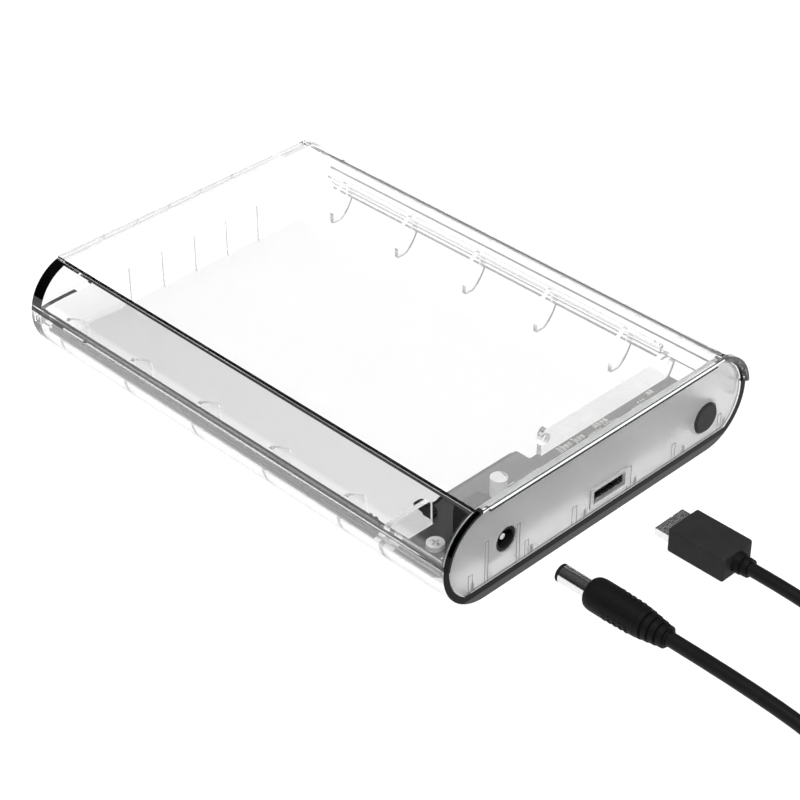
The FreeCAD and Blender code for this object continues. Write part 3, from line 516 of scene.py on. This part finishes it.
# The power plug's grip: a soft shoulder, a long taper and patches of small raised dashes
JACK_X = -40.3
JACK_Z = 15.8
SHOULDER = -122.8
GRIP_END = SHOULDER - 18.5
GRIP_TAPER = 0.028
DASH_PITCH = 1.9
DASH_LONG = 1.1
DASH_WIDE = 0.5
grip_profile = [
    (2.7, SHOULDER - 0.6),
    (2.76, SHOULDER - 0.05),
    (3.6, SHOULDER),
    (4.2, SHOULDER - 0.25),
    (4.62, SHOULDER - 0.8),
    (4.88, SHOULDER - 1.6),
    (5.0, SHOULDER - 2.8),
    (5.0, SHOULDER - 7),
    (4.8, SHOULDER - 12),
    (4.6, GRIP_END + 0.25),
    (4.35, GRIP_END),
    (2.0, GRIP_END),
]
sheet = bmesh.new()
lathe(sheet, grip_profile, JACK_X, JACK_Z)
plug_grip = made_of("plug_grip", sheet, "power_lead", "soft_black", 35)
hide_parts("power_plug_grip")

sheet = bmesh.new()
for patch in range(6):
    for column in range(3):
        turning = Matrix.Rotation(math.radians(60 * patch + 15 * (column - 1) + 10), 3, "Y")
        for row in range(5):
            y = SHOULDER - 8.2 - DASH_PITCH * row
            radius = 4.9 - GRIP_TAPER * (SHOULDER - 7 - y)
            low = (-DASH_WIDE / 2, y - DASH_LONG / 2, radius - 0.2)
            high = (DASH_WIDE / 2, y + DASH_LONG / 2, radius + 0.22)
            block(sheet, low, high, 0.12, turning)
bmesh.ops.translate(sheet, vec=(JACK_X, 0, JACK_Z), verts=sheet.verts)
grip_dashes = made_of("grip_dashes", sheet, "power_lead", "soft_black", 40)


def strap(name, middle, radius, diameter, body):
    """A flat strap round the coil's bundle of turns on its +X side."""
    thick = 0.7
    half_wide = 4
    corner = 1.6
    gap = 0.05
    half = diameter * COLUMNS / 2
    inner = middle[0] + radius - half - gap + corner
    outer = middle[0] + radius + half + gap - corner
    low = corner + 0.02
    high = 2 * diameter + gap - corner
    path = []
    spots = (
        (outer, low, -90),
        (outer, high, 0),
        (inner, high, 90),
        (inner, low, 180),
    )
    for x, z, first in spots:
        for i in range(7):
            angle = math.radians(first + 15 * i)
            path.append((x, z, math.cos(angle), math.sin(angle)))
    sheet = bmesh.new()
    rings = []
    for x, z, ax, az in path:
        ring = []
        for aside, lift in (
            (-half_wide, 0),
            (half_wide, 0),
            (half_wide, thick),
            (-half_wide, thick),
        ):
            reach = corner + lift
            level = max(gap, z + az * reach)
            ring.append(sheet.verts.new((x + ax * reach, middle[1] + aside, level)))
        rings.append(ring)
    for i, ring in enumerate(rings):
        after = rings[(i + 1) % len(rings)]
        for j in range(4):
            k = (j + 1) % 4
            sheet.faces.new((ring[j], ring[k], after[k], after[j]))
    return made_of(name, sheet, body, "soft_black", 40)


power_strap = strap("power_strap", *POWER_COIL, POWER_CORD, "power_lead")
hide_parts("power_cord_tie")
usb_strap = strap("usb_strap", *USB_COIL, USB_CORD, "usb_lead")
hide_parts("usb_cord_tie")

# Moulded guide ribs that show as fine upright lines through the panel: place, width and top
LINE_FRONT = PANEL_FACE - 0.03
LINE_BACK = PANEL_FACE + 0.1
sheet = bmesh.new()
for x, wide, top in (
    (-48.3, 1.2, 19.5),
    (-35.4, 1.2, 18.6),
    (-31.7, 1.5, 10.6),
    (-54.7, 1.6, 11.0),
    (-11.5, 2.0, 11.3),
    (12.6, 1.5, 13.0),
    (32.8, 1.5, 10.8),
    (54.5, 1.6, 10.7),
):
    half = wide / 2
    for left, right_edge, low, high in (
        (-half - 0.1, -half + 0.1, BAY_FLOOR, top),
        (half - 0.1, half + 0.1, BAY_FLOOR, top),
        (-half, half, top - 0.2, top),
        (-half - 0.5, half + 0.5, BAY_FLOOR, BAY_FLOOR + 0.3),
    ):
        block(sheet, (x + left, LINE_FRONT, low), (x + right_edge, LINE_BACK, high))
panel_lines = made_of("panel_lines", sheet, "tray", "grey_plastic")

# White marks printed on the board, and the stripe on the capacitor
MARK_THICK = 0.05
sheet = bmesh.new()


def mark(x, y, long, wide):
    low = (x - long / 2, y - wide / 2, BOARD_TOP)
    high = (x + long / 2, y + wide / 2, BOARD_TOP + MARK_THICK)
    block(sheet, low, high)


# Rows of solder points: first point, how many across and along, and their pitches
for x, y, columns, rows, pitch_x, pitch_y in (
    (7.1, -67.4, 2, 4, 1.4, 1.1),
    (13.6, -67.4, 1, 4, 1, 1.2),
    (19.1, -69.8, 6, 1, 1, 1),
    (26.4, -68.2, 3, 2, 1.2, 1.3),
    (42.4, -69.0, 3, 2, 1.2, 1.3),
):
    for i in range(columns):
        for j in range(rows):
            mark(x + pitch_x * i, y - pitch_y * j, 0.6, 0.55)
for x, y, long, wide in (
    (-27.8, -71.2, 1.4, 2.6),
    (-26.6, -72.4, 2.6, 1.2),
    (-30.6, -70.0, 0.5, 2.2),
    (-29.4, -74.0, 1.8, 0.6),
    (-15.6, -69.6, 3.6, 0.4),
    (-12.2, -70.6, 0.5, 1.6),
    (-52.2, -79.4, 2.2, 0.5),
    (-47.0, -80.6, 0.5, 1.8),
):
    mark(x, y, long, wide)
board_marks = made_of("board_marks", sheet, "tray", "white_plastic")

CAPACITOR = (-22.2, -71.1)
CAPACITOR_TOP = 15.8
STRIPE_RADIUS = 2.4
STRIPE_HALF = 46
STRIPE_TURN = -8
sheet = bmesh.new()
rim = []
for angle in range(-STRIPE_HALF, STRIPE_HALF + 1, 10):
    bearing = math.radians(angle + STRIPE_TURN)
    x = CAPACITOR[0] + STRIPE_RADIUS * math.cos(bearing)
    y = CAPACITOR[1] + STRIPE_RADIUS * math.sin(bearing)
    rim.append(sheet.verts.new((x, y, CAPACITOR_TOP + 0.03)))
sheet.faces.new(rim)
capacitor_stripe = made_of("capacitor_stripe", sheet, "tray", "grey_plastic")


# ---------------------------------------------------------------- camera, floor and light
AZIMUTH = math.radians(-44.475)
ELEVATION = math.radians(35.455)
ROLL = math.radians(-0.213)
DISTANCE = 0.7222
LENS = 103.69
# How far the camera stands aside from the line through the middle of the casing
ASIDE = 0.00543
ABOVE = -0.01574

tray_low, tray_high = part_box("lower_shell")
cover_low, cover_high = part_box("top_cover")
aim = Vector(
    ((tray_low.x + tray_high.x) / 2 + 0.0013, (tray_low.y + tray_high.y) / 2 + 0.0004, 0.0153)
)

back = Vector(
    (
        math.sin(AZIMUTH) * math.cos(ELEVATION),
        -math.cos(AZIMUTH) * math.cos(ELEVATION),
        math.sin(ELEVATION),
    )
)
right = (-back).cross(Vector((0, 0, 1))).normalized()
up = right.cross(-back)
turned_right = right * math.cos(ROLL) + up * math.sin(ROLL)
turned_up = up * math.cos(ROLL) - right * math.sin(ROLL)

camera_data = bpy.data.cameras.new("camera")
camera_data.lens = LENS
camera_data.sensor_width = 36
camera_data.clip_start = 0.05
camera = bpy.data.objects.new("camera", camera_data)
scene.collection.objects.link(camera)
turn = Matrix((turned_right, turned_up, back)).transposed()
camera.matrix_world = Matrix.Translation(
    aim + back * DISTANCE + turned_right * ASIDE + turned_up * ABOVE
) @ turn.to_4x4()
scene.camera = camera

FLOOR_REACH = 6.0
floor_mesh = bpy.data.meshes.new("floor")
floor_mesh.from_pydata(
    [(x * FLOOR_REACH, y * FLOOR_REACH, -0.0002) for x, y in ((-1, -1), (1, -1), (1, 1), (-1, 1))],
    [],
    [(0, 1, 2, 3)],
)
floor = bpy.data.objects.new("floor", floor_mesh)
scene.collection.objects.link(floor)
floor_material = bpy.data.materials.new("pale_floor")
floor_material.use_nodes = True
floor_tree = floor_material.node_tree
floor_shader = floor_tree.nodes["Principled BSDF"]
floor_shader.inputs["Base Color"].default_value = (0.15, 0.15, 0.15, 1)
floor_shader.inputs["Roughness"].default_value = 0.9
floor_shader.inputs["Specular IOR Level"].default_value = 0.0
floor_shader.inputs["Emission Color"].default_value = (1, 1, 1, 1)
floor_shader.inputs["Emission Strength"].default_value = 1.0
floor_mesh.materials.append(floor_material)

world = bpy.data.worlds.new("studio")
world.use_nodes = True
scene.world = world
world_tree = world.node_tree
direction = world_tree.nodes.new("ShaderNodeTexCoord").outputs["Generated"]
split = world_tree.nodes.new("ShaderNodeSeparateXYZ")
world_tree.links.new(direction, split.inputs["Vector"])
sky = ramp(
    world_tree,
    split.outputs["Z"],
    [(0.0, 0.02), (0.3, 0.03), (0.9, 0.08), (1.0, 0.1)],
)
background = world_tree.nodes["Background"]
world_tree.links.new(sky, background.inputs["Color"])
backdrop = world_tree.nodes.new("ShaderNodeBackground")
backdrop.inputs["Color"].default_value = (1, 1, 1, 1)
seen = world_tree.nodes.new("ShaderNodeMixShader")
light_path = world_tree.nodes.new("ShaderNodeLightPath")
world_tree.links.new(light_path.outputs["Is Camera Ray"], seen.inputs["Fac"])
world_tree.links.new(background.outputs["Background"], seen.inputs[1])
world_tree.links.new(backdrop.outputs["Background"], seen.inputs[2])
world_tree.links.new(seen.outputs["Shader"], world_tree.nodes["World Output"].inputs["Surface"])


def soft_light(name, place_at, aim_at, size, radiance):
    """A soft box of size (across, along), as bright as radiance seen from its front."""
    data = bpy.data.lights.new(name, "AREA")
    data.shape = "RECTANGLE"
    data.size, data.size_y = size
    data.energy = radiance * math.pi * size[0] * size[1]
    light = bpy.data.objects.new(name, data)
    scene.collection.objects.link(light)
    light.visible_camera = False
    light.location = place_at
    light.rotation_mode = "QUATERNION"
    light.rotation_quaternion = (Vector(aim_at) - Vector(place_at)).to_track_quat("-Z", "Y")
    return light


# A white card lies flat above and behind the casing, where the top face mirrors it.
CARD_HEIGHT = 40.0
eye = camera.matrix_world.translation
mirrored_eye = Vector((eye.x, eye.y, 2 * cover_high.z - eye.z))
card_scale = (CARD_HEIGHT - mirrored_eye.z) / (cover_high.z - mirrored_eye.z)
top_middle = Vector(((cover_low.x + cover_high.x) / 2, (cover_low.y + cover_high.y) / 2, cover_high.z))
card_middle = mirrored_eye + (top_middle - mirrored_eye) * card_scale
card = soft_light(
    "card",
    card_middle,
    card_middle - Vector((0, 0, 1)),
    ((cover_high.x - cover_low.x - 0.024) * card_scale, (cover_high.y - cover_low.y) * card_scale),
    2.05,
)
card.rotation_quaternion = (1, 0, 0, 0)
soft_light("overhead", (-0.35, -0.45, 1.3), (0, 0, 0), (0.8, 0.8), 14.0)

scene.view_settings.view_transform = "Standard"
scene.cycles.max_bounces = 24
scene.cycles.transmission_bounces = 24
scene.cycles.transparent_max_bounces = 16
scene.cycles.glossy_bounces = 8

bpy.context.view_layer.update()
